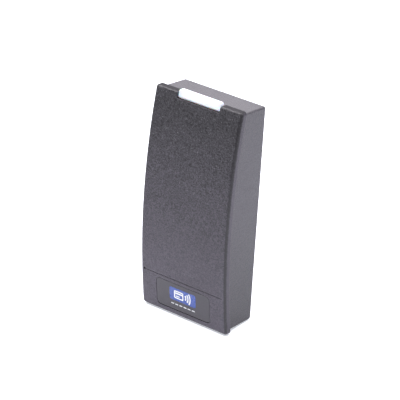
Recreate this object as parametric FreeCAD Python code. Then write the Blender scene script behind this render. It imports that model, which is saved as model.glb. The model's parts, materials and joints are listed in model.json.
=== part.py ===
import FreeCAD, Part
import math
import os
from FreeCAD import Vector

# Slim proximity card reader for a door frame, in millimetres.
# X runs to the right seen from the front, the front faces -Y, Z is up.
# The wall is the plane y = 0, and the origin is midway between the two wall screws.
# The mounting plate stays on the wall. Everything else hooks over its top edge,
# swings shut and is held by one security screw that points up from below.

# ---- outside: a bowed front cover over a drafted housing ----
COVER_W = 48.0
COVER_H = 103.0
COVER_T = 3.0              # cover thickness at its rim
COVER_SKIN = 2.1           # cover thickness inside the rim
EDGE_R = 1.4               # rounding of the cover's front edges
CORNER_R = 1.5             # the cover's corners, seen from the front
DEPTH = 22.55              # the bow's furthest point from the wall
BOW_R = 288.8              # radius of the bowed front, which curves along Z only
BOW_Z = -2.1               # height of the bow's furthest point
BACK_W = 45.0              # housing at the wall
BACK_H = 99.8
DRAFT = 0.4 / 15.0         # how far each side opens per millimetre away from the wall
INNER_W = 41.4             # the housing's straight inside
INNER_H = 96.2
INNER_R = 1.0
HOUSING_R = 1.0            # the housing's long corners
BACK_EDGE_R = 0.35         # the housing's edge at the wall
WALL_GAP = 0.3             # what is inside the housing stays this far off the wall

# ---- details of the front ----
GROOVE_Z = -33.65
GROOVE_R = 0.55            # the groove is a shallow round channel
GROOVE_DEEP = 0.2
GROOVE_X = (-21.9, 22.1)
GROOVE_END_R = 0.45        # small hole at the groove's left end
GROOVE_END_DEEP = 1.2
BADGE_W = 30.1
BADGE_H = 13.0
BADGE_R = 2.0
BADGE_Z = -42.06
BADGE_T = 1.0
BADGE_GAP = 0.15
BADGE_LOW_GAP = 0.35       # the recess is wider under the badge
BADGE_EDGE_R = 0.15
TILE_W = 14.8
TILE_H = 6.2
TILE_R = 0.9
TILE_X = -0.18
TILE_Z = -40.68
TILE_T = 0.25
TILE_PROUD = 0.04
NUB_X = 1.0                # moulding nub on the cover's bottom edge
NUB_Y = -17.0
NUB_R = 0.5
NUB_LENGTH = 1.6
NUB_SUNK = 0.25

# ---- light bar at the top ----
NOTCH_W = 23.8
NOTCH_Z = 48.45            # the notch is open at the top
NOTCH_LOW_R = 0.5
NOTCH_LIP_R = 0.8          # the notch's sides round outwards at its mouth
BAR_GAP = 0.12
BAR_TOP = 52.4
BAR_SINK = 0.75            # how far the bar sits behind the bowed front
BAR_BACK = 2.5
BAR_TOP_R = 1.3            # the bar's upper corners seen from the front
BAR_LOW_R = 0.4
BAR_EDGE_R = 0.5
TONGUE_W = 20.2
TONGUE_Y = (-16.85, -15.95)
TONGUE_Z = 37.4
CHANNEL_GAP = 0.3          # room round the tongue
CHANNEL_SKIN = 1.2         # cover thickness in front of the tongue

# ---- circuit board ----
BOARD_Y = (-15.2, -13.6)
BOARD_W = 40.0
BOARD_Z = (-45.0, 44.0)
BOARD_R = 1.5
STAKE_R = 1.2
STAKE_GAP = 0.12
STAKE_X = 17.0
STAKE_Z = 36.0
STAKE_END = -13.2
POTTING_Y = -11.0          # back face of the resin behind the board

# ---- antennas on the front of the board ----
HF_TURNS = 3
HF_SIZE = (31.0, 86.0)
HF_LINE = 0.5
HF_STEP = 1.6              # each turn is this much smaller than the one outside it
HF_COPPER = 0.07
HF_R = 2.0
LF_SIZE = (26.0, 46.0)
LF_WIDTH = 3.2
LF_R = 6.0
LF_Z = -8.5
LF_THICK = 1.55
LF_OFF_BOARD = 0.15
LF_EDGE_R = 0.5

# ---- parts soldered to the back of the board: X, Z, width, height, thickness ----
MICROCONTROLLER = (0.0, -12.0, 10.0, 10.0, 1.4)
CREDENTIAL_MODULE = (4.0, -27.0, 15.0, 12.0, 2.2)
RADIO_CHIP = (-9.0, -28.5, 6.0, 6.0, 1.0)
VOLTAGE_REGULATOR = (13.5, 22.0, 6.5, 3.6, 1.8)
CRYSTAL_X = 9.5
CRYSTAL = (-12.0, 3.2, 5.0, 1.1)
INDUCTOR_X = (-12.0, -5.5)
INDUCTOR = (32.5, 4.0, 4.0, 2.0)
LARGE_CAPACITOR_X = (-15.0, -10.0)
LARGE_CAPACITOR = (24.0, 3.5, 2.8, 1.9)
SMALL_CAPACITORS = 6
SMALL_CAPACITOR_X = (-9.0, 2.6)        # the first one and the pitch
SMALL_CAPACITOR = (-2.0, 0.9, 1.7, 0.8)
RESISTORS = 12
RESISTOR_X = (-11.0, 2.0)
RESISTOR_Z = (-36.5, 5.5)
RESISTOR = (0.6, 1.1, 0.4)
LED_X = (-6.0, 0.0, 6.0)
LED = (38.8, 3.0, 2.0, 0.7)
SOUNDER_X = 9.0
SOUNDER_Z = 31.0
SOUNDER_R = 6.0
SOUNDER_T = 2.3
SOUNDER_EDGE_R = 0.4
SENSOR_X = -13.0
SENSOR_Z = -21.0
SENSOR_W = 4.2
SENSOR_H = 3.2
SENSOR_R = 0.3
SENSOR_PROUD = 0.2         # the sensor's face stands out of the resin

# ---- screw terminals with rising clamps ----
POLE_PITCH = 3.5
POLES = 4                  # poles in each of the two blocks
BLOCK_X = 7.6              # centre of a block from the middle
BLOCK_W = 14.2
BLOCK_Z = (11.0, 18.0)
BLOCK_Y = (BOARD_Y[1], -3.2)
BLOCK_CHAMFER = 0.8
POLE_Z = 14.5
TERMINAL_SCREW_R = 0.8
TERMINAL_HEAD_R = 1.2
TERMINAL_HEAD_EDGE_R = 0.2
TERMINAL_HEAD_Y = (-4.9, -3.8)
TERMINAL_TIP_Y = -8.0
TERMINAL_TIP_CHAMFER = 0.2
DRIVE_SLOT_W = 0.45
DRIVE_SLOT_Y = -4.35
WELL_GAP = 0.1
WELL_Y = -5.0
SCREW_HOLE_Y = -6.0
CHAMBER_W = 3.0
CHAMBER_H = 3.6
CHAMBER_Y = (-12.0, -5.4)
WIRE_MOUTH_W = 2.4
WIRE_MOUTH_Y = (-10.8, -8.4)
CONTACT_W = 1.2
CONTACT_Y = (-8.6, -8.2)
CONTACT_Z = (12.9, 17.5)
PIN_W = 0.8
PIN_BOTTOM_Z = 16.9
PIN_OUT = 0.6              # pins stand out of the front of the board
CLAMP_W = 2.5
CLAMP_H = 3.0
CLAMP_Y = (-9.6, -5.9)
CLAMP_WALL = 0.5
CLAMP_CLEAR = 0.05
CLAMP_WINDOW = 1.75

# ---- rating label on the resin ----
LABEL_W = 26.0
LABEL_H = 14.0
LABEL_Z = -33.0
LABEL_T = 0.12
LABEL_R = 1.0

# ---- mounting plate ----
PLATE_W = 40.4
PLATE_Z = (-45.9, 45.3)
PLATE_T = 2.2
PLATE_R = 2.0
PLATE_EDGE_R = 0.3
RIB_X = 18.0
RIB_W = 1.0
RIB_H = 76.0
RIB_TALL = 1.2
SLOT_SPACING = 60.0
SLOT_R = 2.1
SLOT_LENGTH = 8.0
OPENING_W = 25.0
OPENING_Z = (-16.0, 12.0)
OPENING_R = 3.0
SWING_Z = BACK_H / 2       # the housing's top back edge is the swing axis
KNUCKLE_R = 4.0            # ledge inside the housing, round about that axis
HOOK_R = 4.3               # inside of the plate's hooks, about the same axis
HOOK_X = 12.0
HOOK_W = 8.0
HOOK_TOP = 47.2
HOOK_FRONT = -5.4
HOOK_BOTTOM = 42.3
HOOK_EDGE_R = 0.6

# ---- security screw, No. 4 by 3/8 inch, 40 threads per inch ----
SCREW_Y = -5.4
SCREW_R = 1.40
SCREW_LENGTH = 9.53
SCREW_TIP_CHAMFER = 0.35
SCREW_HEAD_R = 2.75
SCREW_HEAD_T = 1.2
SCREW_HEAD_EDGE_R = 0.45
SCREW_SEAT = -49.1         # top of the screw's head
SCREW_GAP = 0.06           # radial room in the insert and the washer
LOBES = 6
LOBE_R = 0.28
LOBE_OUT = 0.85
RECESS_R = 0.95
RECESS_DEEP = 0.95
RECESS_PIN_R = 0.4
WASHER_R = 2.9
WASHER_T = 0.4
WASHER_GAP = 0.05
INSERT_R = 2.2
INSERT_Z = (-46.3, -41.3)
INSERT_GROOVE_Z = (-44.7, -43.2)
INSERT_GROOVE = 0.4        # each groove's width
INSERT_GROOVE_DEEP = 0.3
TAB_Z = (-46.4, -40.6)
TAB_W = 10.0
TAB_FRONT = -9.0
TAB_R = 1.0
TAB_HOLE_GAP = 0.3
GUSSET_W = 1.5
GUSSET_Y = -7.0
GUSSET_Z = (-40.7, -36.5)
PAD_W = 11.0               # thickened floor of the housing over the screw's head
PAD_TOP = -47.3
POCKET_TOP = -48.6
POCKET_R = 3.3
NOTCH_R = 1.75

BITE = 0.1                 # how far joined shapes run into each other
OUTSIDE = 60.0             # beyond the reader in every direction


def box(x_span, y_span, z_span):
    corner = Vector(x_span[0], y_span[0], z_span[0])
    return Part.makeBox(x_span[1] - x_span[0], y_span[1] - y_span[0], z_span[1] - z_span[0], corner)


def centred(width, middle=0.0):
    return (middle - width / 2, middle + width / 2)


def rod(radius, start, along, length):
    return Part.makeCylinder(radius, length, Vector(*start), Vector(*along))


def edges_along(shape, axis):
    index = {"x": 0, "y": 1, "z": 2}[axis]
    return [e for e in shape.Edges if abs(e.tangentAt(e.FirstParameter)[index]) > 0.9]


def rounded_block(x_span, y_span, z_span, radius):
    """A box whose four edges along Y are rounded."""
    block = box(x_span, y_span, z_span)
    return block.makeFillet(radius, edges_along(block, "y"))


def slot(x_span, y_span, z_span):
    """A slot through Y with round ends top and bottom."""
    radius = (x_span[1] - x_span[0]) / 2
    middle = (x_span[0] + x_span[1]) / 2
    body = box(x_span, y_span, (z_span[0] + radius, z_span[1] - radius))
    depth = y_span[1] - y_span[0]
    for z in (z_span[0] + radius, z_span[1] - radius):
        body = body.fuse(rod(radius, (middle, y_span[0], z), (0, 1, 0), depth))
    return body.removeSplitter()


def bow_y(z, offset=0.0):
    """Y of the bowed front at a height, or of the surface an offset behind it."""
    return BOW_R - DEPTH - math.sqrt((BOW_R - offset) ** 2 - (z - BOW_Z) ** 2)


def behind_bow(offset, back=1.0):
    """Everything behind the bowed front by an offset."""
    points = [Vector(-COVER_W, bow_y(z, offset), z) for z in (-OUTSIDE, BOW_Z, OUTSIDE)]
    low = Vector(-COVER_W, back, -OUTSIDE)
    high = Vector(-COVER_W, back, OUTSIDE)
    edges = [
        Part.Arc(*points).toShape(),
        Part.makeLine(points[2], high),
        Part.makeLine(high, low),
        Part.makeLine(low, points[0]),
    ]
    return Part.Face(Part.Wire(edges)).extrude(Vector(2 * COVER_W, 0, 0))


def bowed_layer(shape, front, back):
    """The part of a shape between two offsets behind the bowed front."""
    return shape.common(behind_bow(front)).cut(behind_bow(back))


def on_bow(edge, offset=0.0):
    middle = edge.valueAt((edge.FirstParameter + edge.LastParameter) / 2)
    return abs(middle.y - bow_y(middle.z, offset)) < 0.01


def ends_at(edge, side, y):
    """Whether an edge reaches no further than y: side -1 for edges in front of it, 1 for behind."""
    if side < 0:
        return edge.BoundBox.YMax < y + 0.01
    return edge.BoundBox.YMin > y - 0.01


# ---------------------------------------------------------------- front cover


def full_depth(x_span, z_span, radius):
    """A rounded block that runs from before the front to the wall."""
    return rounded_block(x_span, (-DEPTH - 2, 0), z_span, radius)


def light_notch():
    """Cutter for the notch round the light bar, with its mouth rounded outwards."""
    y_span = (-DEPTH - 2, 0)
    notch = rounded_block(centred(NOTCH_W), y_span, (NOTCH_Z, COVER_H), NOTCH_LOW_R)
    top = COVER_H / 2
    for side in (-1, 1):
        wall = side * NOTCH_W / 2
        centre = wall + side * NOTCH_LIP_R
        x_span = (min(wall, centre), max(wall, centre))
        mouth = box(x_span, y_span, (top - NOTCH_LIP_R, top + BITE))
        corner = rod(NOTCH_LIP_R, (centre, -DEPTH - 2, top - NOTCH_LIP_R), (0, 1, 0), DEPTH + 2)
        notch = notch.fuse(mouth.cut(corner))
    return notch


def front_groove():
    """Cutter for the round groove that follows the bow, and the small hole that ends it."""
    front = bow_y(GROOVE_Z)
    length = GROOVE_X[1] - GROOVE_X[0]
    channel = rod(GROOVE_R, (GROOVE_X[0], front + GROOVE_DEEP - GROOVE_R, GROOVE_Z), (1, 0, 0), length)
    hole = rod(GROOVE_END_R, (GROOVE_X[0], front - 1, GROOVE_Z), (0, 1, 0), 1 + GROOVE_END_DEEP)
    return channel.fuse(hole)


def board_stakes():
    """Stakes on the cover's inside that the circuit board is heat-staked to."""
    stakes = []
    for x in (-STAKE_X, STAKE_X):
        for z in (-STAKE_Z, STAKE_Z):
            stake = rod(STAKE_R, (x, -DEPTH, z), (0, 1, 0), DEPTH + STAKE_END)
            stakes.append(stake.common(behind_bow(COVER_SKIN / 2)))
    return stakes


def front_cover():
    cover = bowed_layer(box(centred(COVER_W), (-DEPTH - 2, 0), centred(COVER_H)), 0, COVER_T)
    corners = [e for e in cover.Edges if e.Length < COVER_T * 1.1]
    cover = cover.makeFillet(CORNER_R, corners)
    cover = cover.makeFillet(EDGE_R, [e for e in cover.Edges if on_bow(e)])
    pocket = box(centred(INNER_W - 0.4), (-DEPTH, 0), centred(INNER_H - 0.4))
    cover = cover.cut(pocket.common(behind_bow(COVER_SKIN)))
    channel_z = (TONGUE_Z - CHANNEL_GAP, NOTCH_Z + BITE)
    channel = box(centred(TONGUE_W + 2 * CHANNEL_GAP), (-DEPTH, 0), channel_z)
    cover = cover.cut(channel.common(behind_bow(CHANNEL_SKIN)))
    cover = cover.cut(light_notch()).cut(front_groove())
    recess_z = (BADGE_Z - BADGE_H / 2 - BADGE_LOW_GAP, BADGE_Z + BADGE_H / 2 + BADGE_GAP)
    recess = full_depth(centred(BADGE_W + 2 * BADGE_GAP), recess_z, BADGE_R + BADGE_GAP)
    cover = cover.cut(recess.cut(behind_bow(BADGE_T)))
    for stake in board_stakes():
        cover = cover.fuse(stake)
    nub = rod(NUB_R, (NUB_X, NUB_Y, NUB_SUNK - COVER_H / 2), (0, 1, 0), NUB_LENGTH)
    return cover.fuse(nub).removeSplitter()


def tile_block():
    return full_depth(centred(TILE_W, TILE_X), centred(TILE_H, TILE_Z), TILE_R)


def badge_plate():
    outline = full_depth(centred(BADGE_W), centred(BADGE_H, BADGE_Z), BADGE_R)
    badge = bowed_layer(outline, 0, BADGE_T)
    badge = badge.makeFillet(BADGE_EDGE_R, [e for e in badge.Edges if on_bow(e)])
    return badge.cut(tile_block().cut(behind_bow(TILE_T)))


def badge_tile():
    return bowed_layer(tile_block(), -TILE_PROUD, TILE_T)


def light_pipe():
    width = NOTCH_W - 2 * BAR_GAP
    outline = box(centred(width), (-DEPTH - 2, 0), (NOTCH_Z + BAR_GAP, BAR_TOP))
    upper = [e for e in edges_along(outline, "y") if e.BoundBox.ZMin > BAR_TOP - BITE]
    outline = outline.makeFillet(BAR_TOP_R, upper)
    lower = [e for e in edges_along(outline, "y") if e.BoundBox.ZMax < NOTCH_Z + 2 * BAR_GAP]
    outline = outline.makeFillet(BAR_LOW_R, lower)
    bar = bowed_layer(outline, BAR_SINK, BAR_BACK)
    bar = bar.makeFillet(BAR_EDGE_R, [e for e in bar.Edges if on_bow(e, BAR_SINK)])
    tongue = box(centred(TONGUE_W), TONGUE_Y, (TONGUE_Z, NOTCH_Z + BAR_LOW_R + BAR_GAP))
    return bar.fuse(tongue).removeSplitter()


# -------------------------------------------------------------------- housing


def drafted_block():
    """The housing's outside, largest at the front."""
    x0, x1 = centred(BACK_W)
    z0, z1 = centred(BACK_H)
    grow = DRAFT * DEPTH
    # least x, y and z, then least z and x at the wall, then the greatest in the same order
    return Part.makeWedge(
        x0 - grow, -DEPTH, z0 - grow, z0, x0, x1 + grow, 0, z1 + grow, z1, x1
    )


def screw_notch():
    """The open-backed notch that lets the housing slide over the security screw."""
    below = (0, SCREW_Y, -OUTSIDE)
    notch = rod(NOTCH_R, below, (0, 0, 1), OUTSIDE + TAB_Z[1])
    notch = notch.fuse(box(centred(2 * NOTCH_R), (SCREW_Y, 1), (-OUTSIDE, TAB_Z[1])))
    pocket = rod(POCKET_R, below, (0, 0, 1), OUTSIDE + POCKET_TOP)
    return notch.fuse(pocket).fuse(box(centred(2 * POCKET_R), (SCREW_Y, 1), (-OUTSIDE, POCKET_TOP)))


def knuckle(x):
    """Ledge inside the housing's top that hangs on one of the plate's hooks."""
    width = HOOK_W + 1
    start = x - width / 2
    ledge = rod(KNUCKLE_R, (start, 0, SWING_Z), (1, 0, 0), width)
    room_z = (SWING_Z - KNUCKLE_R, INNER_H / 2 + BITE)
    return ledge.common(box((start, start + width), (-KNUCKLE_R, -WALL_GAP), room_z))


def housing():
    shell = drafted_block()
    shell = shell.makeFillet(HOUSING_R, [e for e in shell.Edges if e.BoundBox.YLength > DEPTH / 2])
    shell = shell.makeFillet(BACK_EDGE_R, [e for e in shell.Edges if ends_at(e, 1, 0)])
    shell = shell.common(behind_bow(COVER_T))
    inside = full_depth(centred(INNER_W), centred(INNER_H), INNER_R)
    mouth = box(centred(INNER_W - 2 * INNER_R), (-1, 1), centred(INNER_H - 2 * INNER_R))
    shell = shell.cut(inside.fuse(mouth))
    for x in (-HOOK_X, HOOK_X):
        shell = shell.fuse(knuckle(x))
    pad = box(centred(PAD_W), (TAB_FRONT - 1, -WALL_GAP), (-INNER_H / 2 - BITE, PAD_TOP))
    return shell.fuse(pad).cut(screw_notch()).removeSplitter()


# -------------------------------------------------- circuit board and antennas


def ring(width, height, radius, line, y_span, z=0.0):
    """A flat rounded rectangular ring, such as one antenna turn."""
    outer = rounded_block(centred(width), y_span, centred(height, z), radius)
    hole_r = max(radius - line, 0.2)
    hole = rounded_block(centred(width - 2 * line), y_span, centred(height - 2 * line, z), hole_r)
    return outer.cut(hole)


def main_board():
    board = rounded_block(centred(BOARD_W), BOARD_Y, BOARD_Z, BOARD_R)
    for x in (-STAKE_X, STAKE_X):
        for z in (-STAKE_Z, STAKE_Z):
            board = board.cut(rod(STAKE_R + STAKE_GAP, (x, -DEPTH, z), (0, 1, 0), DEPTH))
    return board.cut(terminal_contacts())


def hf_antenna():
    """Three copper turns near the board's edge, tuned to the short-range band."""
    y_span = (BOARD_Y[0] - HF_COPPER, BOARD_Y[0])
    middle = sum(BOARD_Z) / 2
    turns = []
    for turn in range(HF_TURNS):
        width, height = (size - HF_STEP * turn for size in HF_SIZE)
        turns.append(ring(width, height, HF_R, HF_LINE, y_span, middle))
    return Part.makeCompound(turns)


def lf_coil():
    """A wound coil for the low-frequency band, flat on the front of the board."""
    back = BOARD_Y[0] - LF_OFF_BOARD
    coil = ring(*LF_SIZE, LF_R, LF_WIDTH, (back - LF_THICK, back), LF_Z)
    return coil.makeFillet(LF_EDGE_R, [e for e in coil.Edges if e.BoundBox.YLength < 0.01])


def chip(x, z, width, height, thick, front=False):
    """A packaged part soldered to the back of the board, or to its front."""
    face = BOARD_Y[0] - thick if front else BOARD_Y[1]
    return box(centred(width, x), (face, face + thick), centred(height, z))


def status_leds():
    return Part.makeCompound([chip(x, *LED, front=True) for x in LED_X])


def capacitors():
    first, pitch = SMALL_CAPACITOR_X
    row = [chip(first + pitch * k, *SMALL_CAPACITOR) for k in range(SMALL_CAPACITORS)]
    return Part.makeCompound(row + [chip(x, *LARGE_CAPACITOR) for x in LARGE_CAPACITOR_X])


def resistors():
    first, pitch = RESISTOR_X
    return Part.makeCompound(
        [chip(first + pitch * k, z, *RESISTOR) for k in range(RESISTORS) for z in RESISTOR_Z]
    )


def sounder():
    """Round piezo sounder with a rounded rim."""
    disc = rod(SOUNDER_R, (SOUNDER_X, BOARD_Y[1], SOUNDER_Z), (0, 1, 0), SOUNDER_T)
    return disc.makeFillet(SOUNDER_EDGE_R, [disc.Edges[0]])


def tamper_sensor():
    """Optical sensor that looks at the wall through the potting."""
    y_span = (BOARD_Y[1], POTTING_Y + SENSOR_PROUD)
    return rounded_block(centred(SENSOR_W, SENSOR_X), y_span, centred(SENSOR_H, SENSOR_Z), SENSOR_R)


def board_parts():
    return {
        "microcontroller": chip(*MICROCONTROLLER),
        "credential_module": chip(*CREDENTIAL_MODULE),
        "radio_chip": chip(*RADIO_CHIP),
        "crystals": Part.makeCompound([chip(x, *CRYSTAL) for x in (-CRYSTAL_X, CRYSTAL_X)]),
        "inductors": Part.makeCompound([chip(x, *INDUCTOR) for x in INDUCTOR_X]),
        "capacitors": capacitors(),
        "resistors": resistors(),
        "voltage_regulator": chip(*VOLTAGE_REGULATOR),
        "sounder": sounder(),
        "tamper_sensor": tamper_sensor(),
    }


# ------------------------------------------------------------ screw terminals


def pole_x(block, pole):
    return block * BLOCK_X + (pole - (POLES - 1) / 2) * POLE_PITCH


def all_poles():
    return [pole_x(block, pole) for block in (-1, 1) for pole in range(POLES)]


def terminal_contacts():
    """Fixed contact tongues, each with a pin soldered through the board."""
    contacts = []
    for x in all_poles():
        tongue = box(centred(CONTACT_W, x), CONTACT_Y, CONTACT_Z)
        pin_y = (BOARD_Y[0] - PIN_OUT, CONTACT_Y[1] - BITE)
        pin = box(centred(PIN_W, x), pin_y, (PIN_BOTTOM_Z, CONTACT_Z[1]))
        contacts.append(tongue.fuse(pin).removeSplitter())
    return Part.makeCompound(contacts)


def terminal_block(block):
    """Insulating block with a screw well, a clamp chamber and a wire mouth for each pole."""
    body = box(centred(BLOCK_W, block * BLOCK_X), BLOCK_Y, BLOCK_Z)
    back_edges = [e for e in body.Edges if ends_at(e, 1, BLOCK_Y[1]) and e.BoundBox.XLength > 1]
    body = body.makeChamfer(BLOCK_CHAMFER, back_edges)
    for pole in range(POLES):
        x = pole_x(block, pole)
        body = body.cut(rod(TERMINAL_HEAD_R + WELL_GAP, (x, WELL_Y, POLE_Z), (0, 1, 0), -WELL_Y))
        hole_length = WELL_Y + 1 - SCREW_HOLE_Y
        body = body.cut(rod(TERMINAL_SCREW_R + WELL_GAP, (x, SCREW_HOLE_Y, POLE_Z), (0, 1, 0), hole_length))
        body = body.cut(box(centred(CHAMBER_W, x), CHAMBER_Y, centred(CHAMBER_H, POLE_Z)))
        body = body.cut(box(centred(WIRE_MOUTH_W, x), WIRE_MOUTH_Y, (BLOCK_Z[0] - 1, POLE_Z)))
    return body.cut(terminal_contacts())


def terminal_screw(x):
    head_y, top_y = TERMINAL_HEAD_Y
    head = rod(TERMINAL_HEAD_R, (x, head_y, POLE_Z), (0, 1, 0), top_y - head_y)
    head = head.makeFillet(TERMINAL_HEAD_EDGE_R, [e for e in head.Edges if ends_at(e, 1, top_y)])
    length = head_y + BITE - TERMINAL_TIP_Y
    shank = rod(TERMINAL_SCREW_R, (x, TERMINAL_TIP_Y, POLE_Z), (0, 1, 0), length)
    tip = [e for e in shank.Edges if ends_at(e, -1, TERMINAL_TIP_Y)]
    shank = shank.makeChamfer(TERMINAL_TIP_CHAMFER, tip)
    drive = box(centred(DRIVE_SLOT_W, x), (DRIVE_SLOT_Y, 0), centred(3 * TERMINAL_HEAD_R, POLE_Z))
    return head.fuse(shank).cut(drive).removeSplitter()


def terminal_clamp(x):
    """Rising cage: its threaded top runs on the screw and its floor lifts the wire."""
    cage = box(centred(CLAMP_W, x), CLAMP_Y, centred(CLAMP_H, POLE_Z))
    window_y = (CLAMP_Y[0] + CLAMP_WALL, CLAMP_Y[1] - CLAMP_WALL)
    cage = cage.cut(box(centred(CLAMP_WINDOW, x), window_y, centred(2 * CLAMP_H, POLE_Z)))
    start = (x, window_y[1] - BITE, POLE_Z)
    return cage.cut(rod(TERMINAL_SCREW_R + CLAMP_CLEAR, start, (0, 1, 0), CLAMP_WALL + 2 * BITE))


def rating_label():
    """Blank label on the back of the potting."""
    y_span = (POTTING_Y, POTTING_Y + LABEL_T)
    return rounded_block(centred(LABEL_W), y_span, centred(LABEL_H, LABEL_Z), LABEL_R)


def potting(buried):
    """Resin that fills the housing behind the board, around everything soldered to it."""
    fill = full_depth(centred(INNER_W), centred(INNER_H), INNER_R)
    fill = fill.common(box(centred(INNER_W), (BOARD_Y[1], POTTING_Y), centred(INNER_H)))
    for shape in buried:
        fill = fill.cut(shape)
    return fill


# ------------------------------------------------- mounting plate and its screw


def plate_ribs():
    y_span = (-PLATE_T - RIB_TALL, -PLATE_T + BITE)
    return [box(centred(RIB_W, x), y_span, centred(RIB_H)) for x in (-RIB_X, RIB_X)]


def screw_tab():
    """Tab that stands off the plate round the screw's insert, with a gusset at each side."""
    tab = box(centred(TAB_W), (TAB_FRONT, -PLATE_T + BITE), TAB_Z)
    tab = tab.makeFillet(TAB_R, [e for e in tab.Edges if ends_at(e, -1, TAB_FRONT)])
    low, high = GUSSET_Z
    back = -PLATE_T + BITE
    for x in (-TAB_W / 2, TAB_W / 2 - GUSSET_W):
        corner = [Vector(x, back, low), Vector(x, GUSSET_Y, low), Vector(x, back, high)]
        gusset = Part.Face(Part.makePolygon(corner + corner[:1])).extrude(Vector(GUSSET_W, 0, 0))
        tab = tab.fuse(gusset)
    return tab


def plate_hooks():
    hooks = []
    for x in (-HOOK_X, HOOK_X):
        hook = box(centred(HOOK_W, x), (HOOK_FRONT, -PLATE_T + BITE), (HOOK_BOTTOM, HOOK_TOP))
        hooks.append(hook.makeFillet(HOOK_EDGE_R, [e for e in hook.Edges if ends_at(e, -1, HOOK_FRONT)]))
    return hooks


def mounting_plate():
    plate = rounded_block(centred(PLATE_W), (-PLATE_T, 0), PLATE_Z, PLATE_R)
    plate = plate.makeFillet(PLATE_EDGE_R, [e for e in plate.Edges if ends_at(e, -1, -PLATE_T)])
    for shape in plate_ribs() + [screw_tab()] + plate_hooks():
        plate = plate.fuse(shape)
    plate = plate.cut(rod(HOOK_R, (-PLATE_W, 0, SWING_Z), (1, 0, 0), 2 * PLATE_W))
    through = (-2 * PLATE_T, 1)
    plate = plate.cut(rounded_block(centred(OPENING_W), through, OPENING_Z, OPENING_R))
    for z in (-SLOT_SPACING / 2, SLOT_SPACING / 2):
        plate = plate.cut(slot(centred(2 * SLOT_R), through, centred(SLOT_LENGTH, z)))
    start = (0, SCREW_Y, TAB_Z[0] - 1)
    screw_hole = rod(SCREW_R + TAB_HOLE_GAP, start, (0, 0, 1), TAB_Z[1] - start[2] + 1)
    insert_hole = rod(INSERT_R, start, (0, 0, 1), INSERT_Z[1] - start[2])
    return plate.cut(screw_hole).cut(insert_hole)


def screw_insert():
    """Brass insert pressed into the plate's tab."""
    length = INSERT_Z[1] - INSERT_Z[0]
    sleeve = rod(INSERT_R, (0, SCREW_Y, INSERT_Z[0]), (0, 0, 1), length)
    for z in INSERT_GROOVE_Z:
        groove = rod(2 * INSERT_R, (0, SCREW_Y, z), (0, 0, 1), INSERT_GROOVE)
        core = rod(INSERT_R - INSERT_GROOVE_DEEP, (0, SCREW_Y, z), (0, 0, 1), INSERT_GROOVE)
        sleeve = sleeve.cut(groove.cut(core))
    return sleeve.cut(rod(SCREW_R + SCREW_GAP, (0, SCREW_Y, INSERT_Z[0]), (0, 0, 1), length))


def screw_recess(face):
    """Cutter for the six-lobed recess round a centre pin, upwards from the head's face."""
    length = 1 + RECESS_DEEP
    recess = rod(RECESS_R, (0, SCREW_Y, face - 1), (0, 0, 1), length)
    for lobe in range(LOBES):
        angle = 2 * math.pi * lobe / LOBES
        centre = (LOBE_OUT * math.cos(angle), SCREW_Y + LOBE_OUT * math.sin(angle), face - 1)
        recess = recess.fuse(rod(LOBE_R, centre, (0, 0, 1), length))
    return recess.cut(rod(RECESS_PIN_R, (0, SCREW_Y, face - 1), (0, 0, 1), 2 * length))


def security_screw():
    """Pan-head screw with a six-lobed recess and a centre pin."""
    face = SCREW_SEAT - SCREW_HEAD_T
    head = rod(SCREW_HEAD_R, (0, SCREW_Y, face), (0, 0, 1), SCREW_HEAD_T)
    head = head.makeFillet(SCREW_HEAD_EDGE_R, [e for e in head.Edges if e.BoundBox.ZMax < face + 0.01])
    shank = rod(SCREW_R, (0, SCREW_Y, SCREW_SEAT - BITE), (0, 0, 1), SCREW_LENGTH + BITE)
    tip = [e for e in shank.Edges if e.BoundBox.ZMin > SCREW_SEAT + SCREW_LENGTH - 0.01]
    screw = head.fuse(shank.makeChamfer(SCREW_TIP_CHAMFER, tip))
    return screw.cut(screw_recess(face)).removeSplitter()


def screw_washer():
    """Retaining washer under the screw's head, which keeps the screw captive."""
    low = SCREW_SEAT + WASHER_GAP
    washer = rod(WASHER_R, (0, SCREW_Y, low), (0, 0, 1), WASHER_T)
    return washer.cut(rod(SCREW_R + SCREW_GAP, (0, SCREW_Y, low), (0, 0, 1), WASHER_T))


def build():
    nodes = {
        "front_cover": front_cover(),
        "badge_plate": badge_plate(),
        "badge_tile": badge_tile(),
        "light_pipe": light_pipe(),
        "housing": housing(),
        "main_board": main_board(),
        "hf_antenna": hf_antenna(),
        "lf_coil": lf_coil(),
        "status_leds": status_leds(),
        "terminal_contacts": terminal_contacts(),
        "terminal_block_left": terminal_block(-1),
        "terminal_block_right": terminal_block(1),
        "rating_label": rating_label(),
        "mounting_plate": mounting_plate(),
        "screw_insert": screw_insert(),
        "security_screw": security_screw(),
        "screw_washer": screw_washer(),
    }
    parts = board_parts()
    nodes.update(parts)
    blocks = [box(centred(BLOCK_W, side * BLOCK_X), BLOCK_Y, BLOCK_Z) for side in (-1, 1)]
    nodes["potting"] = potting(list(parts.values()) + blocks + [nodes["front_cover"]])
    for number, x in enumerate(all_poles(), start=1):
        nodes[f"terminal_screw_{number}"] = terminal_screw(x)
        nodes[f"terminal_clamp_{number}"] = terminal_clamp(x)
    return nodes


os.makedirs("parts", exist_ok=True)
for name, shape in build().items():
    shape.exportStep(f"parts/{name}.step")
    print(f"{name}: {len(shape.Solids)} solids, {shape.Volume:.2f} mm3, valid {shape.isValid()}")
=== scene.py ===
import json
import math

import bmesh
import bpy
from mathutils import Matrix, Vector
from mathutils.bvhtree import BVHTree


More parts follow.
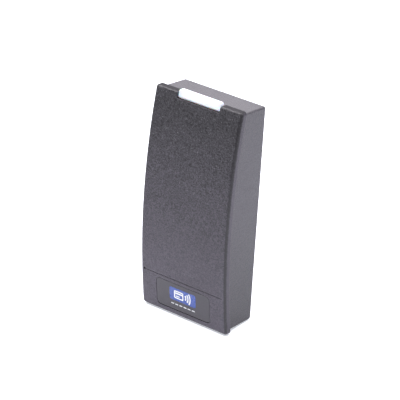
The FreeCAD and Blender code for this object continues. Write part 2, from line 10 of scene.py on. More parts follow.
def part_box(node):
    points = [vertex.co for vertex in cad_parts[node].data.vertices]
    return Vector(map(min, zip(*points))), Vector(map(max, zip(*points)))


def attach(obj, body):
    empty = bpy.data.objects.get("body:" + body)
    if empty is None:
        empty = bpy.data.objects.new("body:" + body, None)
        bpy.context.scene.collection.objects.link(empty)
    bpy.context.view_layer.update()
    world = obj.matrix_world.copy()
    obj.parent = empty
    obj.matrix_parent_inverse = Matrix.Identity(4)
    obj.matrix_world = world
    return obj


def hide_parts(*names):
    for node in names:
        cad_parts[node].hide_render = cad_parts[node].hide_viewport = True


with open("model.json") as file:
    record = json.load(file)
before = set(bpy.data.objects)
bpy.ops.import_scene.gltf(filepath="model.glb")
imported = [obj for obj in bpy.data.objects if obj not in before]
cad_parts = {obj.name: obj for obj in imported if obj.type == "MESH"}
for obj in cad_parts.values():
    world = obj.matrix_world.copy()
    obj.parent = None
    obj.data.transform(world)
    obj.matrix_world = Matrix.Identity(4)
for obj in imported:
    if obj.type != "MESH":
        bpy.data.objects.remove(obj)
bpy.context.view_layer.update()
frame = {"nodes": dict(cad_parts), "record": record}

MM = 0.001
READER = "reader"
X, Y, Z = 0, 1, 2          # an axis, as an index
BLACK = (0.0, 0.0, 0.0)

# ----------------------------------------------------------- the reader's print
INK_THICK = 0.00003        # above and below the surface that it follows
LABEL_INK_THICK = 0.00002
# shares of the tile's width
CARD_WIDTH = 0.36
CARD_LEFT = 0.145          # how far the card is left of the tile's middle
# shares of the tile's height
CARD_HEIGHT = 0.64
CARD_CORNER = 0.11
CARD_LINE = 0.10
FIRST_WAVE = 0.34
WAVE_STEP = 0.20
DASHES_BELOW = 0.31        # how far the dashes are below the tile
LONG_LINE = (0.05, 0.17)   # the card's two lines, from the tile's middle
SHORT_LINE = (-0.16, -0.07)
# shares of the card's width, to the right of its middle
SHORT_LINE_END = 0.10
WAVE_CENTRE = 0.36
# other measures of the symbol and the dashes
WAVES = 3
WAVE_ANGLE = 34            # degrees to each side
WAVE_BOLD = 1.15           # times the card's line
DASHES = 6
DASH_LONG = 0.00165
DASH_TALL = 0.00046
DASH_GAP = 0.00070

# ----------------------------------------------------------- the screw's thread
THREAD_CREST = 1.40 * MM
THREAD_ROOT = 1.12 * MM
THREAD_PITCH = 0.635 * MM
THREAD_FROM_TIP = 9.0 * MM
THREAD_FLANK = 1.25        # above 1, the crests are flat
RUN_IN = 1.5               # turns until the thread is at full depth
TIP_CHAMFER = 0.45 * MM
TIP_SHARE = 0.72           # the tip's radius, as a share of the shank's
NECK_HEIGHT = 0.9 * MM     # where the neck starts, above the head's lower face
STEPS_ROUND = 32
STEPS_A_TURN = 6

# ------------------------------------------------------------------ the studio
FLOOR_RADIUS = 0.85
FLOOR_GLOW = 0.45          # the light that the floor itself gives
ROOM_LIGHT = 0.20          # what the room gives besides the lamps and the floor
STEEPEST_LEAN = 12.0       # degrees

CAMERA_AT = Vector((0.63035, -0.80869, 0.43593))
CAMERA_RIGHT = Vector((0.7669, 0.63905, 0.05898))
CAMERA_DOWN = Vector((0.29299, -0.26687, -0.91812))
CAMERA_LENS = 230.255
SENSOR = 36.0


class Graph:
    """A material's node tree, with short methods for the nodes that the materials use."""

    def __init__(self, name):
        self.material = bpy.data.materials.new(name)
        self.material.use_nodes = True
        self.tree = self.material.node_tree
        self.tree.nodes.clear()
        self.output = self.tree.nodes.new("ShaderNodeOutputMaterial")
        self.shader = self.tree.nodes.new("ShaderNodeBsdfPrincipled")
        self.tree.links.new(self.shader.outputs[0], self.output.inputs[0])
        coordinates = self.tree.nodes.new("ShaderNodeTexCoord")
        self.place = coordinates.outputs["Object"]
        self.normal = coordinates.outputs["Normal"]

    def link(self, value, socket):
        """Sets a socket from a number, a colour or another node's output."""
        if isinstance(value, bpy.types.NodeSocket):
            self.tree.links.new(value, socket)
        elif isinstance(value, (tuple, list)) and len(value) == 3 and socket.type == "RGBA":
            socket.default_value = (*value, 1.0)
        else:
            socket.default_value = value

    def node(self, kind, inputs=(), **settings):
        made = self.tree.nodes.new(kind)
        for key, value in settings.items():
            setattr(made, key, value)
        for key, value in dict(inputs).items():
            self.link(value, made.inputs[key])
        return made

    def noise(self, size, detail=2.0, roughness=0.55, place=None):
        """Noise whose grains are about size metres across."""
        inputs = {
            "Vector": self.place if place is None else place,
            "Scale": 1.0 / size,
            "Detail": detail,
            "Roughness": roughness,
        }
        return self.node("ShaderNodeTexNoise", inputs).outputs["Fac"]

    def remap(self, value, low, high, to_low=0.0, to_high=1.0):
        inputs = {
            "Value": value, "From Min": low, "From Max": high, "To Min": to_low, "To Max": to_high,
        }
        return self.node("ShaderNodeMapRange", inputs).outputs["Result"]

    def math(self, operation, a, b=0.0):
        return self.node("ShaderNodeMath", {0: a, 1: b}, operation=operation).outputs[0]

    def times(self, a, b):
        return self.math("MULTIPLY", a, b)

    def plus(self, a, b):
        return self.math("ADD", a, b)

    def minus(self, a, b):
        return self.math("SUBTRACT", a, b)

    def mix(self, factor, a, b):
        """From colour a at factor 0 to colour b at factor 1."""
        factor_in, color_a, color_b, color_out = 0, 6, 7, 2
        made = self.node("ShaderNodeMix", data_type="RGBA")
        self.link(factor, made.inputs[factor_in])
        self.link(a, made.inputs[color_a])
        self.link(b, made.inputs[color_b])
        return made.outputs[color_out]

    def along(self, axis):
        """The position along an axis, in metres."""
        return self.node("ShaderNodeSeparateXYZ", {0: self.place}).outputs[axis]

    def facing(self, axis):
        """How far the surface faces along an axis, from -1 to 1."""
        return self.node("ShaderNodeSeparateXYZ", {0: self.normal}).outputs[axis]

    def bump(self, height, distance, strength=1.0, normal=None):
        inputs = {"Height": height, "Distance": distance, "Strength": strength}
        if normal is not None:
            inputs["Normal"] = normal
        return self.node("ShaderNodeBump", inputs).outputs["Normal"]

    def edges(self, radius):
        """(a normal rounded over sharp edges, a mask that is 1 on them)."""
        rounded = self.node("ShaderNodeBevel", {"Radius": radius}, samples=6).outputs["Normal"]
        flat = self.node("ShaderNodeNewGeometry").outputs["Normal"]
        product = self.node("ShaderNodeVectorMath", {0: rounded, 1: flat}, operation="DOT_PRODUCT")
        return rounded, self.remap(product.outputs["Value"], 1.0, 0.85)

    def finish(self, color, roughness, normal=None, **plain):
        """The material, with further inputs of the shader as plain values."""
        self.link(color, self.shader.inputs["Base Color"])
        self.link(roughness, self.shader.inputs["Roughness"])
        if normal is not None:
            self.link(normal, self.shader.inputs["Normal"])
        for key, value in plain.items():
            self.link(value, self.shader.inputs[key.replace("_", " ")])
        return self.material


# ------------------------------------------------------------------- materials


def scaled(color, factor):
    """A colour made darker or paler, up to white."""
    return tuple(min(1.0, c * factor) for c in color)


def moulded_plastic(name, color, grain, depth, contrast, rough=(0.42, 0.62), low=1.0):
    """Spark-textured plastic: fine pits with painted shade in them and painted highlight on their
    crests, slow mottling, dust and paler worn edges.

    low scales the colour of the lower end: painted shade by height where it is below 1, and paler
    where above."""
    g = Graph(name)
    pits = g.noise(grain, detail=3.0, roughness=0.6)
    clouds = g.noise(0.014, detail=2.0)
    fine = g.remap(pits, 0.32, 0.68)
    swing = g.times(g.minus(fine, 0.5), contrast)
    shade = g.plus(g.plus(swing, 0.5), g.remap(clouds, 0.3, 0.7, -0.06, 0.06))
    # painted shade: the colour changes towards the lower end by low
    tone = g.mix(g.remap(g.along(Z), -0.050, 0.010), scaled(color, low), color)
    # painted shade darkens the grain's pits, painted highlight lightens its crests
    shaded_pit, lit_crest = g.mix(0.45, tone, BLACK), g.mix(0.06, tone, (0.35, 0.34, 0.37))
    base = g.mix(shade, shaded_pit, lit_crest)
    rounded, worn = g.edges(0.00018)
    scuffs = g.times(worn, g.remap(g.noise(0.0011, detail=4.0), 0.40, 0.68))
    base = g.mix(g.times(scuffs, 0.45), base, scaled(color, 2.6))
    dust = g.remap(g.noise(0.0016, detail=5.0, roughness=0.75), 0.70, 0.76)
    base = g.mix(g.times(dust, 0.12), base, (0.45, 0.44, 0.43))
    roughness = g.remap(g.plus(fine, clouds), 0.3, 1.6, *rough)
    normal = g.bump(fine, depth, 1.0, rounded)
    return g.finish(base, roughness, normal, IOR=1.5)


def textured_cover(name, color):
    """The cover: coarse spark texture on the bowed front, fading downwards, with painted shade in its
    pits and painted highlight on its crests; painted light and shade by height and facing: paler
    lower down, darker higher up, a darker lip where it faces up or right, a paler right side and
    underside; paler worn edges that also give a painted highlight along the lip's rear edge, painted
    glints and dust.
    """
    # painted light and shade: the front is paler lower down, where the floor's light falls, and
    # darker higher up
    floor_lit_low_end, shaded_high_end = scaled(color, 3.65), scaled(color, 0.50)
    # lit and shaded copies of the colour: the lip darker for painted shade, its right side and
    # underside paler for painted light
    lip, side, floor_lit_underside = scaled(color, 0.45), scaled(color, 2.8), scaled(color, 3.5)
    g = Graph(name)
    front = g.remap(g.facing(Y), -0.975, -0.93, 1.0, 0.0)
    flat = g.remap(g.facing(Y), -0.50, -0.15)
    rounding = g.minus(g.minus(1.0, front), flat)
    # painted shade is kept to faces that turn up or to the right
    outward = g.math("MAXIMUM", g.facing(X), g.facing(Z))
    rounding = g.times(rounding, g.remap(outward, 0.15, 0.40))
    flat_top = g.times(flat, g.remap(g.facing(Z), 0.3, 0.7))
    lit_flat_side = g.times(flat, g.remap(g.facing(X), 0.5, 0.9))
    height = g.along(Z)
    by_face = g.remap(front, 0.0, 1.0, 0.4, 1.0)
    by_height = g.remap(height, -0.048, 0.025, 0.40, 0.95)
    amount = g.times(by_face, by_height)
    pits = g.remap(g.noise(0.00062, detail=1.5, roughness=0.5), 0.36, 0.64)
    crumbs = g.remap(g.noise(0.0012, detail=2.0, roughness=0.6), 0.36, 0.64)
    grain = g.plus(g.times(pits, 0.7), g.times(crumbs, 0.3))
    clouds = g.remap(g.noise(0.016, detail=2.0), 0.3, 0.7, -0.04, 0.04)
    swing = g.times(g.minus(grain, 0.5), amount)
    shade = g.plus(g.plus(swing, 0.5), clouds)
    # painted floor light towards the bottom, painted shade towards the top
    body = g.mix(g.remap(height, -0.050, 0.042), floor_lit_low_end, shaded_high_end)
    # painted shade: the lip's rounding and flat top, where they face up or right, take a darker copy
    # of the colour
    body = g.mix(g.math("MAXIMUM", rounding, flat_top), body, lip)
    # painted light: the lip's flat side, facing right, takes a paler copy of the colour
    body = g.mix(lit_flat_side, body, side)
    # painted floor light: faces turned downwards take a paler copy of the colour
    body = g.mix(g.remap(g.facing(Z), -0.15, -0.50), body, floor_lit_underside)
    # painted shade darkens the grain's pits, painted highlight lightens its crests
    shaded_pit, lit_crest = g.mix(0.88, body, BLACK), g.mix(0.13, body, (0.30, 0.29, 0.32))
    base = g.mix(shade, shaded_pit, lit_crest)
    rounded, worn = g.edges(0.00028)
    # paler worn edges, which also give a painted highlight along the lip's rear edge
    scuffs = g.times(worn, g.remap(g.noise(0.0016, detail=4.0), 0.36, 0.62, 0.4, 1.0))
    base = g.mix(g.times(scuffs, 0.75), base, (0.20, 0.195, 0.21))
    # painted glints: pale specks where the spark texture is strongest
    painted_glints = g.times(g.remap(g.noise(0.0005, detail=1.0), 0.64, 0.72), amount)
    base = g.mix(g.times(painted_glints, 0.25), base, (0.36, 0.35, 0.37))
    dust = g.remap(g.noise(0.0015, detail=5.0, roughness=0.75), 0.71, 0.76)
    base = g.mix(g.times(dust, 0.5), base, (0.50, 0.50, 0.52))
    roughness = g.mix(rounding, g.remap(grain, 0.0, 1.0, 0.46, 0.64), (0.32, 0.32, 0.32))
    roughness = g.mix(flat_top, roughness, (0.85, 0.85, 0.85))
    normal = g.bump(g.times(grain, amount), 0.00016, 1.0, rounded)
    return g.finish(base, roughness, normal, IOR=1.5, Specular_IOR_Level=0.38)


def printed_blue():
    """The tile's smooth blue print under a thin clear coat."""
    g = Graph("tile_blue")
    tone = g.remap(g.noise(0.0009, detail=3.0), 0.3, 0.7)
    rounded, worn = g.edges(0.00012)
    color = g.mix(tone, (0.012, 0.050, 0.300), (0.020, 0.070, 0.360))
    color = g.mix(g.times(worn, 0.35), color, (0.10, 0.20, 0.55))
    roughness = g.remap(g.noise(0.003, detail=4.0), 0.3, 0.7, 0.22, 0.34)
    normal = g.bump(g.noise(0.0006), 0.00001, 0.5, rounded)
    return g.finish(color, roughness, normal, IOR=1.5, Coat_Weight=0.4, Coat_Roughness=0.12)


def white_ink():
    """Pale ink, a little uneven."""
    g = Graph("ink_white")
    tone = g.remap(g.noise(0.0004, detail=4.0), 0.3, 0.7)
    color = g.mix(tone, (0.70, 0.72, 0.74), (0.86, 0.87, 0.88))
    return g.finish(color, g.remap(tone, 0.0, 1.0, 0.4, 0.55), g.bump(tone, 0.000008))


def milky_acrylic():
    """White diffusing acrylic, with painted shade that turns the bar's ends darker and bluer, a
    painted highlight along its edges and a faint painted glow.
    """
    g = Graph("light_diffuser")
    flow = g.noise(0.004, detail=3.0)
    # painted shade: the bar's ends darker and bluer
    ends = g.remap(g.math("ABSOLUTE", g.along(X)), 0.0085, 0.0118)
    color = g.mix(g.times(ends, 0.5), (0.84, 0.86, 0.88), (0.62, 0.72, 0.84))
    rounded, worn = g.edges(0.0002)
    # painted highlight: a paler rim along the bar's edges
    color = g.mix(g.times(worn, 0.4), color, (0.98, 0.99, 1.0))
    roughness = g.remap(flow, 0.3, 0.7, 0.16, 0.30)
    normal = g.bump(g.noise(0.0010, detail=3.0), 0.00001, 0.6, rounded)
    return g.finish(
        color, roughness, normal, IOR=1.49, Subsurface_Weight=0.35, Subsurface_Scale=0.003,
        # painted glow: the acrylic gives off a faint light of its own
        Emission_Color=(0.90, 0.95, 1.0), Emission_Strength=0.05,
    )


def circuit_board():
    """Green solder mask with the shadows of traces, and pale specks."""
    g = Graph("board_green")
    x, z = g.along(X), g.along(Z)
    slanted = g.plus(x, g.times(z, 0.35))
    bars = g.math("SINE", g.times(slanted, 4200.0))
    blocks = g.remap(g.noise(0.006, detail=0.0), 0.48, 0.52)
    traces = g.times(g.remap(bars, 0.1, 0.4), blocks)
    color = g.mix(traces, (0.010, 0.085, 0.035), (0.022, 0.150, 0.060))
    color = g.mix(g.remap(g.noise(0.0007), 0.66, 0.70), color, (0.45, 0.46, 0.44))
    roughness = g.remap(g.noise(0.002), 0.3, 0.7, 0.25, 0.42)
    return g.finish(color, roughness, g.bump(traces, 0.00003), Coat_Weight=0.3)


def cast_resin():
    """Poured resin: glossy, with a slow ripple, small bubbles and dust."""
    g = Graph("potting_resin")
    ripple = g.noise(0.009, detail=2.0)
    bubble = g.node("ShaderNodeTexVoronoi", {"Vector": g.place, "Scale": 420.0}).outputs["Distance"]
    pits = g.remap(bubble, 0.10, 0.16)
    dust = g.remap(g.noise(0.0009, detail=6.0, roughness=0.7), 0.60, 0.72)
    color = g.mix(g.times(dust, 0.25), (0.012, 0.012, 0.013), (0.10, 0.10, 0.10))
    roughness = g.remap(g.noise(0.004, detail=4.0), 0.3, 0.7, 0.16, 0.38)
    height = g.plus(g.times(ripple, 2.0), g.times(pits, 0.25))
    return g.finish(color, roughness, g.bump(height, 0.00025), IOR=1.55)


def metal(name, color, rough=(0.22, 0.42), stretch=(1.0, 1.0, 1.0), stain=(0.25, 0.20, 0.15)):
    """Plated or turned metal with a grain that can be stretched along an axis, and stains."""
    g = Graph(name)
    mapped = g.node("ShaderNodeMapping", {"Vector": g.place, "Scale": stretch}).outputs[0]
    lines = g.noise(0.0004, detail=4.0, place=mapped)
    patches = g.remap(g.noise(0.0018, detail=5.0, roughness=0.7), 0.56, 0.72)
    rounded, worn = g.edges(0.00008)
    base = g.mix(lines, scaled(color, 0.85), scaled(color, 1.12))
    base = g.mix(g.times(patches, 0.25), base, stain)
    base = g.mix(g.times(worn, 0.5), base, scaled(color, 1.3))
    roughness = g.remap(g.plus(lines, patches), 0.3, 1.3, *rough)
    return g.finish(base, roughness, g.bump(lines, 0.00001, 0.6, rounded), Metallic=1.0)


def moulded(name, color, rough=(0.35, 0.55), size=0.0006, **plain):
    """A small moulded or cast part: mottled colour, softened paler edges."""
    g = Graph(name)
    grain = g.noise(size, detail=3.0)
    clouds = g.noise(size * 9, detail=3.0)
    rounded, worn = g.edges(0.00010)
    base = g.mix(g.remap(clouds, 0.3, 0.7), scaled(color, 0.88), scaled(color, 1.12))
    base = g.mix(g.times(worn, 0.5), base, scaled(color, 1.6))
    roughness = g.remap(g.plus(grain, clouds), 0.5, 1.4, *rough)
    return g.finish(base, roughness, g.bump(grain, 0.00002, 0.8, rounded), **plain)


def wound_copper():
    """Enamelled wire laid side by side round a coil, with painted shade between the turns and painted
    highlight on them.
    """
    g = Graph("copper_winding")
    turns = g.math("SINE", g.times(g.along(Y), 26000.0))
    fibres = g.noise(0.0012, detail=2.0)
    # painted shade and highlight: each turn dark at its gaps and bright on its top
    color = g.mix(g.remap(turns, -1.0, 1.0), (0.30, 0.11, 0.035), (0.62, 0.27, 0.10))
    color = g.mix(g.remap(fibres, 0.3, 0.7, 0.0, 0.3), color, (0.70, 0.38, 0.16))
    roughness = g.remap(fibres, 0.3, 0.7, 0.25, 0.4)
    return g.finish(color, roughness, g.bump(turns, 0.00003), Metallic=0.9)


def polyester_label():
    """A silver label, brushed sideways."""
    g = Graph("label_silver")
    mapped = g.node("ShaderNodeMapping", {"Vector": g.place, "Scale": (0.1, 1.0, 1.0)}).outputs[0]
    brushed = g.noise(0.0003, detail=3.0, place=mapped)
    color = g.mix(brushed, (0.50, 0.50, 0.51), (0.66, 0.66, 0.67))
    roughness = g.remap(brushed, 0.3, 0.7, 0.32, 0.48)
    return g.finish(color, roughness, g.bump(brushed, 0.000004), Metallic=0.6)


def make_materials():
    """Every material of the reader, by the name of its slot or its use."""
    return {
        "cover_plastic": textured_cover("cover_plastic", (0.036, 0.031, 0.041)),
        "badge_plastic": moulded_plastic(
            "badge_plastic", (0.061, 0.055, 0.067),
            grain=0.0005, depth=0.00001, contrast=0.25, rough=(0.42, 0.54),
        ),
        "housing_plastic": moulded_plastic(
            "housing_plastic", (0.090, 0.084, 0.098),
            # painted shade: the housing darker towards the bottom
            grain=0.0007, depth=0.00010, contrast=0.8, low=0.58,
        ),
        "plate_plastic": moulded_plastic(
            "plate_plastic", (0.035, 0.035, 0.037),
            grain=0.0007, depth=0.00004, contrast=0.25, rough=(0.45, 0.6),
        ),
        "badge_blue": printed_blue(),
        "light_diffuser": milky_acrylic(),
        "board_green": circuit_board(),
        "potting_resin": cast_resin(),
        "copper_trace": metal("copper_trace", (0.70, 0.38, 0.20)),
        "copper_winding": wound_copper(),
        "tin_contact": metal("tin_contact", (0.66, 0.66, 0.64), stretch=(1.0, 0.2, 1.0)),
        "terminal_steel": metal("terminal_steel", (0.62, 0.62, 0.60), rough=(0.18, 0.36)),
        "brass": metal("insert_brass", (0.72, 0.50, 0.20), stretch=(1.0, 1.0, 6.0)),
        "screw_steel": metal(
            "screw_black_oxide", (0.075, 0.073, 0.075), rough=(0.30, 0.5), stain=(0.05, 0.03, 0.02),
        ),
        "crystal_can": metal("crystal_can", (0.62, 0.62, 0.61), stretch=(1.0, 1.0, 0.15)),
        "terminal_plastic": moulded("terminal_green", (0.020, 0.150, 0.055), rough=(0.32, 0.5)),
        "label_silver": polyester_label(),
        "washer_nylon": moulded(
            "washer_nylon", (0.66, 0.63, 0.54), Subsurface_Weight=0.2, Subsurface_Scale=0.001,
        ),
        "chip_black": moulded("chip_black", (0.020, 0.020, 0.021), rough=(0.42, 0.6), size=0.0003),
        "ferrite_grey": moulded("ferrite_grey", (0.075, 0.075, 0.078), rough=(0.5, 0.7), size=0.0004),
        "capacitor_tan": moulded("capacitor_tan", (0.45, 0.31, 0.17), rough=(0.35, 0.5), size=0.0003),
        "sounder_black": moulded("sounder_black", (0.022, 0.022, 0.022)),
        "sensor_clear": moulded(
            "sensor_dark", (0.030, 0.008, 0.012), rough=(0.06, 0.14), Coat_Weight=0.5,
        ),
        "led_white": moulded(
            "led_white", (0.80, 0.79, 0.70), Emission_Color=(1.0, 0.97, 0.9), Emission_Strength=0.1,
        ),
        "ink": white_ink(),
        "ink_grey": moulded("ink_grey", (0.10, 0.10, 0.11), size=0.0003),
    }


def dress_frame(materials):
    """Gives every CAD node the detailed material of its slot."""
    for row in frame["record"]["subparts"]:
        node = frame["nodes"][row["node"]]
        for place in node.material_slots:
            place.material = materials[row["material_slot"]]


# ------------------------------------------------------------ printed pictures


def surface_of(node):
    """A node's mesh, made ready for rays."""
    mesh = frame["nodes"][node].data
    mesh.calc_loop_triangles()
    points = [v.co.copy() for v in mesh.vertices]
    return BVHTree.FromPolygons(points, [tuple(t.vertices) for t in mesh.loop_triangles])


def laid_on(surface, x, z, towards, lift):
    """The point of a node's surface at x and z, seen along Y, raised by lift."""
    clear_of_reader = 0.08
    start = Vector((x, -clear_of_reader * towards, z))
    hit = surface.ray_cast(start, Vector((0, towards, 0)))[0]
    return Vector((x, hit.y - towards * lift, z))


def in_scene(name, data):
    """A new object in the scene, from a mesh, a lamp or a camera."""
    made = bpy.data.objects.new(name, data)
    bpy.context.scene.collection.objects.link(made)
    return made


def piece_from(name, mesh, material):
    """An object in one material, from a finished bmesh."""
    data = bpy.data.meshes.new(name)
    mesh.to_mesh(data)
    mesh.free()
    data.materials.append(material)
    return in_scene(name, data)


def join_loops(mesh, first, second):
    """The wall of faces between two closed loops of as many vertices."""
    for k, following in enumerate([*range(1, len(first)), 0]):
        mesh.faces.new((first[k], first[following], second[following], second[k]))


def add_strip(mesh, surface, strip, thickness, towards):
    """One printed shape as a thin solid band, closed if it ends where it starts."""
    rows = []
    for pair in strip:
        top = [mesh.verts.new(laid_on(surface, x, z, towards, thickness)) for x, z in pair]
        low = [mesh.verts.new(laid_on(surface, x, z, towards, -thickness)) for x, z in pair]
        rows.append((top[0], top[1], low[1], low[0]))
    closed = strip[0] == strip[-1]
    if closed:
        for vert in rows.pop():
            mesh.verts.remove(vert)
    following = rows[1:] + rows[:1] if closed else rows[1:]
    for a, b in zip(rows, following):
        join_loops(mesh, a, b)
    if not closed:
        mesh.faces.new(rows[0])
        mesh.faces.new(rows[-1][::-1])


def print_on(name, node, outlines, thickness, material, towards=1):
    """Thin printed shapes that follow a node's front (towards 1) or back (towards -1) surface.

    Each outline is a strip of (x, z) pairs: a point of one long side and its partner on the other."""
    surface = surface_of(node)
    mesh = bmesh.new()
    for strip in outlines:
        add_strip(mesh, surface, strip, thickness, towards)
    bmesh.ops.recalc_face_normals(mesh, faces=mesh.faces)
    piece = piece_from(name, mesh, material)
    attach(piece, READER)


def bar_strip(x0, x1, z0, z1, steps=8):
    """A rectangle, as a strip from left to right."""
    across = [x0 + (x1 - x0) * k / steps for k in range(steps + 1)]
    return [((x, z0), (x, z1)) for x in across]


def rounded_outline(width, height, radius, x, z, steps=6):
    """Points round a rounded rectangle, from its right side, anticlockwise."""
    points = []
    for corner, (sx, sz) in enumerate(((1, 1), (-1, 1), (-1, -1), (1, -1))):
        cx = x + sx * (width / 2 - radius)
        cz = z + sz * (height / 2 - radius)
        for k in range(steps + 1):
            angle = math.pi / 2 * (corner + k / steps)
            points.append((cx + radius * math.cos(angle), cz + radius * math.sin(angle)))
    return points


def frame_strip(width, height, radius, line, x, z):
    """A rounded rectangular line, as a closed strip."""
    outer = rounded_outline(width, height, radius, x, z)
    smallest_corner = 0.00005
    inner_radius = max(radius - line, smallest_corner)
    inner = rounded_outline(width - 2 * line, height - 2 * line, inner_radius, x, z)
    pairs = list(zip(outer, inner))
    return pairs + pairs[:1]


def arc_strip(radius, line, half_angle, x, z, steps=14):
    """A wave: an arc that opens towards -X, centred on x, z."""
    strip = []
    for k in range(steps + 1):
        angle = math.radians(half_angle) * (2 * k / steps - 1)
        sides = (radius - line / 2, radius + line / 2)
        strip.append(tuple((x + r * math.cos(angle), z + r * math.sin(angle)) for r in sides))
    return strip


def print_symbol(materials):
    """A card with two lines on it, and radio waves beside it, on the tile."""
    low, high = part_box("badge_tile")
    x, z = (low.x + high.x) / 2, (low.z + high.z) / 2
    width, height = high.x - low.x, high.z - low.z
    card_w, card_h, line = CARD_WIDTH * width, CARD_HEIGHT * height, CARD_LINE * height
    card_x = x - CARD_LEFT * width
    left, right = card_x - card_w / 2, card_x + card_w / 2
    short_end = card_x + SHORT_LINE_END * card_w
    long_line = [z + share * height for share in LONG_LINE]
    short_line = [z + share * height for share in SHORT_LINE]
    shapes = [
        frame_strip(card_w, card_h, CARD_CORNER * height, line, card_x, z),
        bar_strip(left + line, right - line, *long_line),
        bar_strip(left + 1.8 * line, short_end, *short_line),
    ]
    wave_x = card_x + WAVE_CENTRE * card_w
    for turn in range(WAVES):
        radius = (FIRST_WAVE + WAVE_STEP * turn) * height
        shapes.append(arc_strip(radius, WAVE_BOLD * line, WAVE_ANGLE, wave_x, z))
    print_on("badge_symbol", "badge_tile", shapes, INK_THICK, materials["ink"])


def print_dashes(materials):
    """A row of plain dashes on the badge, under the tile."""
    low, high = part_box("badge_tile")
    x, height = (low.x + high.x) / 2, high.z - low.z
    start = x - (DASHES * DASH_LONG + (DASHES - 1) * DASH_GAP) / 2
    row_z = low.z - DASHES_BELOW * height
    dashes = []
    for k in range(DASHES):
        left = start + k * (DASH_LONG + DASH_GAP)
        bottom, top = row_z - DASH_TALL / 2, row_z + DASH_TALL / 2
        dashes.append(bar_strip(left, left + DASH_LONG, bottom, top, 3))
    print_on("badge_dashes", "badge_plate", dashes, INK_THICK, materials["ink"])


def print_label(materials):
    """A ruled frame and blank lines on the back label."""
    low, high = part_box("rating_label")
    x, z = (low.x + high.x) / 2, (low.z + high.z) / 2
    width, height = high.x - low.x, high.z - low.z
    margin, corner, line = 0.0016, 0.0006, 0.00022
    rows, first_row, row_step = 4, 0.28, 0.19
    row_left, row_right, row_shorter = 0.42, 0.34, 0.16
    shapes = [frame_strip(width - margin, height - margin, corner, line, x, z)]
    for row in range(rows):
        at = z + (first_row - row_step * row) * height
        right = x + (row_right - row_shorter * (row % 2)) * width
        shapes.append(bar_strip(x - row_left * width, right, at - line, at + line))
    ink = materials["ink_grey"]
    print_on("label_print", "rating_label", shapes, LABEL_INK_THICK, ink, towards=-1)


# ----------------------------------------------------------------- screw thread


def thread_radius(turns, run_in):
    """The shank's radius a number of turns along the thread, with a share of its full depth."""
    ridge = 1 - abs(2 * (turns % 1.0) - 1)
    depth = (THREAD_CREST - THREAD_ROOT) * run_in
    return THREAD_CREST - depth * (1 - min(1.0, ridge * THREAD_FLANK))


def thread_ring(mesh, x, y, height, turns, run_in):
    """One ring of vertices round the shank, whose radii follow the thread."""
    ring = []
    for k in range(STEPS_ROUND):
        angle = 2 * math.pi * k / STEPS_ROUND
        radius = thread_radius(turns - k / STEPS_ROUND, run_in)
        place = (x + radius * math.cos(angle), y + radius * math.sin(angle), height)
        ring.append(mesh.verts.new(place))
    return ring


def thread_rings(mesh, x, y, start, end):
    """The rings from the lower to the upper end of the thread."""
    count = int((end - start) / (THREAD_PITCH / STEPS_A_TURN))
    rings = []
    for row in range(count + 1):
        height = start + (end - start) * row / count
        run_in = min(1.0, row / (RUN_IN * STEPS_A_TURN))
        rings.append(thread_ring(mesh, x, y, height, (height - start) / THREAD_PITCH, run_in))
    return rings


def add_plain_head(mesh, node, top):
    """The CAD screw's own faces below a height: its head and recess."""
    head = bmesh.new()
    head.from_mesh(node.data)
    above = [f for f in head.faces if f.calc_center_median().z > top]
    bmesh.ops.delete(head, geom=above, context="FACES")
    shoulder = bpy.data.meshes.new("head")
    head.to_mesh(shoulder)
    head.free()
    mesh.from_mesh(shoulder)


def threaded_screw(materials):
    """The security screw's shank with a real thread, cut inward from the plain CAD shank."""
    low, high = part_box("security_screw")
    x, y = (low.x + high.x) / 2, (low.y + high.y) / 2
    start, end = high.z - THREAD_FROM_TIP, high.z - TIP_CHAMFER
    mesh = bmesh.new()
    rings = thread_rings(mesh, x, y, start, end)
    for lower, upper in zip(rings, rings[1:]):
        join_loops(mesh, lower, upper)
    tip = []
    for vert in rings[-1]:
        inward = (x + (vert.co.x - x) * TIP_SHARE, y + (vert.co.y - y) * TIP_SHARE, high.z)
        tip.append(mesh.verts.new(inward))
    join_loops(mesh, rings[-1], tip)
    mesh.faces.new(tip)
    just_below = start - 0.05 * MM
    add_plain_head(mesh, frame["nodes"]["security_screw"], just_below)
    neck_z = low.z + NECK_HEIGHT
    neck = [mesh.verts.new((vert.co.x, vert.co.y, neck_z)) for vert in rings[0]]
    join_loops(mesh, neck, rings[0])
    piece = piece_from("threaded_security_screw", mesh, materials["screw_steel"])
    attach(piece, "security_screw")
    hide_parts("security_screw")


# ----------------------------------------------------------------------- stage


def lowest_along(up, names=None):
    """How far down the named nodes, or all of them, reach along a direction."""
    nodes = frame["nodes"]
    return min(v.co.dot(up) for name in names or nodes for v in nodes[name].data.vertices)


def leaning_up():
    """Up for a reader that stands on its lip and on the housing's back edge, leaning back."""
    low, high = 0.0, math.radians(STEEPEST_LEAN)
    halvings = 24
    for _ in range(halvings):
        lean = (low + high) / 2
        up = Vector((0.0, -math.sin(lean), math.cos(lean)))
        if lowest_along(up, ["front_cover"]) < lowest_along(up, ["housing"]):
            low = lean
        else:
            high = lean
    return up


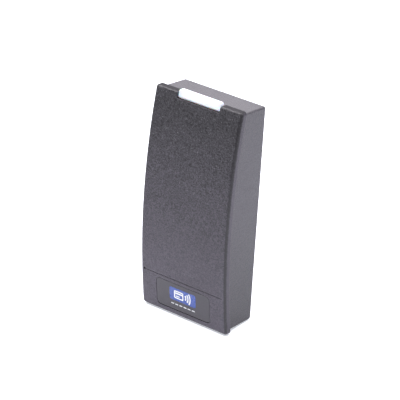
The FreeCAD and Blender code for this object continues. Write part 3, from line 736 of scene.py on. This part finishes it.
def make_floor(up):
    """A pale round floor with a faint glow, which touches the reader's lowest points."""
    g = Graph("studio_floor")
    tone = g.remap(g.noise(0.4, detail=2.0), 0.3, 0.7)
    color = g.mix(tone, (0.835, 0.860, 0.905), (0.85, 0.872, 0.915))
    material = g.finish(
        color, 0.6, g.bump(g.noise(0.002), 0.00001, 0.2),
        Emission_Color=(0.93, 0.96, 1.0), Emission_Strength=FLOOR_GLOW,
    )
    bpy.ops.mesh.primitive_circle_add(vertices=96, radius=FLOOR_RADIUS, fill_type="NGON")
    floor = bpy.context.object
    floor.name = "studio_floor"
    floor.rotation_mode = "QUATERNION"
    floor.rotation_quaternion = up.to_track_quat("Z", "Y")
    floor.location = up * lowest_along(up)
    floor.data.materials.append(material)


def softbox(name, place, target, size, radiance, color):
    """A rectangular lamp of a given size in metres and brightness."""
    data = bpy.data.lights.new(name, "AREA")
    data.shape = "RECTANGLE"
    data.size, data.size_y = size
    data.energy = radiance * math.pi * size[0] * size[1]
    data.color = color
    light = in_scene(name, data)
    light.location = place
    light.rotation_mode = "QUATERNION"
    light.rotation_quaternion = (Vector(target) - Vector(place)).to_track_quat("-Z", "Y")


def make_world():
    """A white backdrop for the camera, and a dim room for everything else."""
    world = bpy.data.worlds.new("studio_world")
    world.use_nodes = True
    tree = world.node_tree
    tree.nodes.clear()
    path = tree.nodes.new("ShaderNodeLightPath")
    level = tree.nodes.new("ShaderNodeMapRange")
    level.inputs["To Min"].default_value = ROOM_LIGHT
    level.inputs["To Max"].default_value = 1.0
    back = tree.nodes.new("ShaderNodeBackground")
    back.inputs["Color"].default_value = (1.0, 1.0, 1.0, 1.0)
    output = tree.nodes.new("ShaderNodeOutputWorld")
    tree.links.new(path.outputs["Is Camera Ray"], level.inputs["Value"])
    tree.links.new(level.outputs["Result"], back.inputs["Strength"])
    tree.links.new(back.outputs["Background"], output.inputs["Surface"])
    bpy.context.scene.world = world


def make_lights():
    """A wide lamp overhead, a pale panel at the back left, and a small lamp at the front left."""
    middle = (0.0, 0.0, 0.0)
    lamp_color = (1.0, 0.975, 1.02)
    softbox(
        "overhead_softbox", place=(0.15, 0.25, 1.25), target=(0.15, 0.25, 0.0),
        size=(2.0, 1.7), radiance=3.9, color=lamp_color,
    )
    softbox(
        "back_panel", place=(-1.0, 1.35, 0.50), target=middle,
        size=(1.5, 0.9), radiance=2.4, color=(0.98, 0.97, 1.0),
    )
    softbox(
        "front_left_softbox", place=(-0.62, -0.42, 0.76), target=middle,
        size=(0.50, 0.40), radiance=11.0, color=lamp_color,
    )


def make_camera():
    """The camera, squared up from its two stated directions."""
    data = bpy.data.cameras.new("camera")
    data.lens = CAMERA_LENS
    data.sensor_width = SENSOR
    data.clip_start = 0.05
    data.clip_end = 20.0
    camera = in_scene("camera", data)
    right = CAMERA_RIGHT.normalized()
    up = (-CAMERA_DOWN - right * right.dot(-CAMERA_DOWN)).normalized()
    back = right.cross(up)
    turn = Matrix((right, up, back)).transposed()
    camera.matrix_world = Matrix.Translation(CAMERA_AT) @ turn.to_4x4()
    bpy.context.scene.camera = camera


bpy.context.scene.view_settings.view_transform = "Standard"
materials = make_materials()
dress_frame(materials)
print_symbol(materials)
print_dashes(materials)
print_label(materials)
threaded_screw(materials)
make_floor(leaning_up())
make_world()
make_lights()
make_camera()
